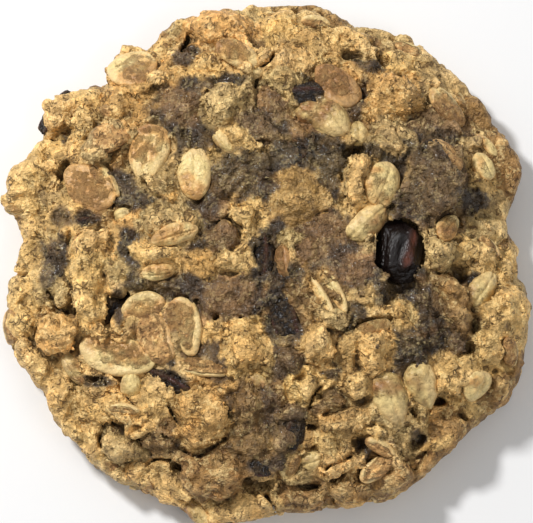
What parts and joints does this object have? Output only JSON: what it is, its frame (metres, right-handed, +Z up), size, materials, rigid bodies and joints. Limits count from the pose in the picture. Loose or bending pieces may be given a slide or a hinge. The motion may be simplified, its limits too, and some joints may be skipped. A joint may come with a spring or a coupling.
{
  "type": "oatmeal raisin cookie",
  "caption": "Chunky round oatmeal raisin cookie with a craggy domed top of dough lumps, rolled oats and raisins, a low lumpy side and a flat underside to rest on.",
  "frame": {"origin": "middle of the flat underside, on the surface that the cookie lies on", "axes": "+Z up through the domed top, +X to the right and +Y away from the viewer, who looks down on it from -Y"},
  "size_m": [0.0826, 0.0826, 0.0175],
  "materials": {
    "baked_dough": "matte, crumbly baked dough, golden brown with darker moist dough in the middle",
    "rolled_oats": "dry rolled oats and kernels, cream to toasted gold, with pale rims",
    "raisin": "wrinkled and slightly glossy, almost black with red-brown ridges"
  },
  "bodies": {
    "root": {"cookie": "baked_dough", "raisin_right": "raisin", "raisin_centre_upper": "raisin", "raisin_centre_lower": "raisin", "raisin_lower_left": "raisin", "raisin_left_hollow": "raisin", "raisin_left_small": "raisin", "raisin_left_upper": "raisin", "raisin_left_rim": "raisin", "raisin_top": "raisin", "raisin_upper_middle": "raisin", "raisin_lower_middle": "raisin", "raisin_lower_small": "raisin", "raisin_bottom_rim": "raisin"}
  },
  "joints": []
}
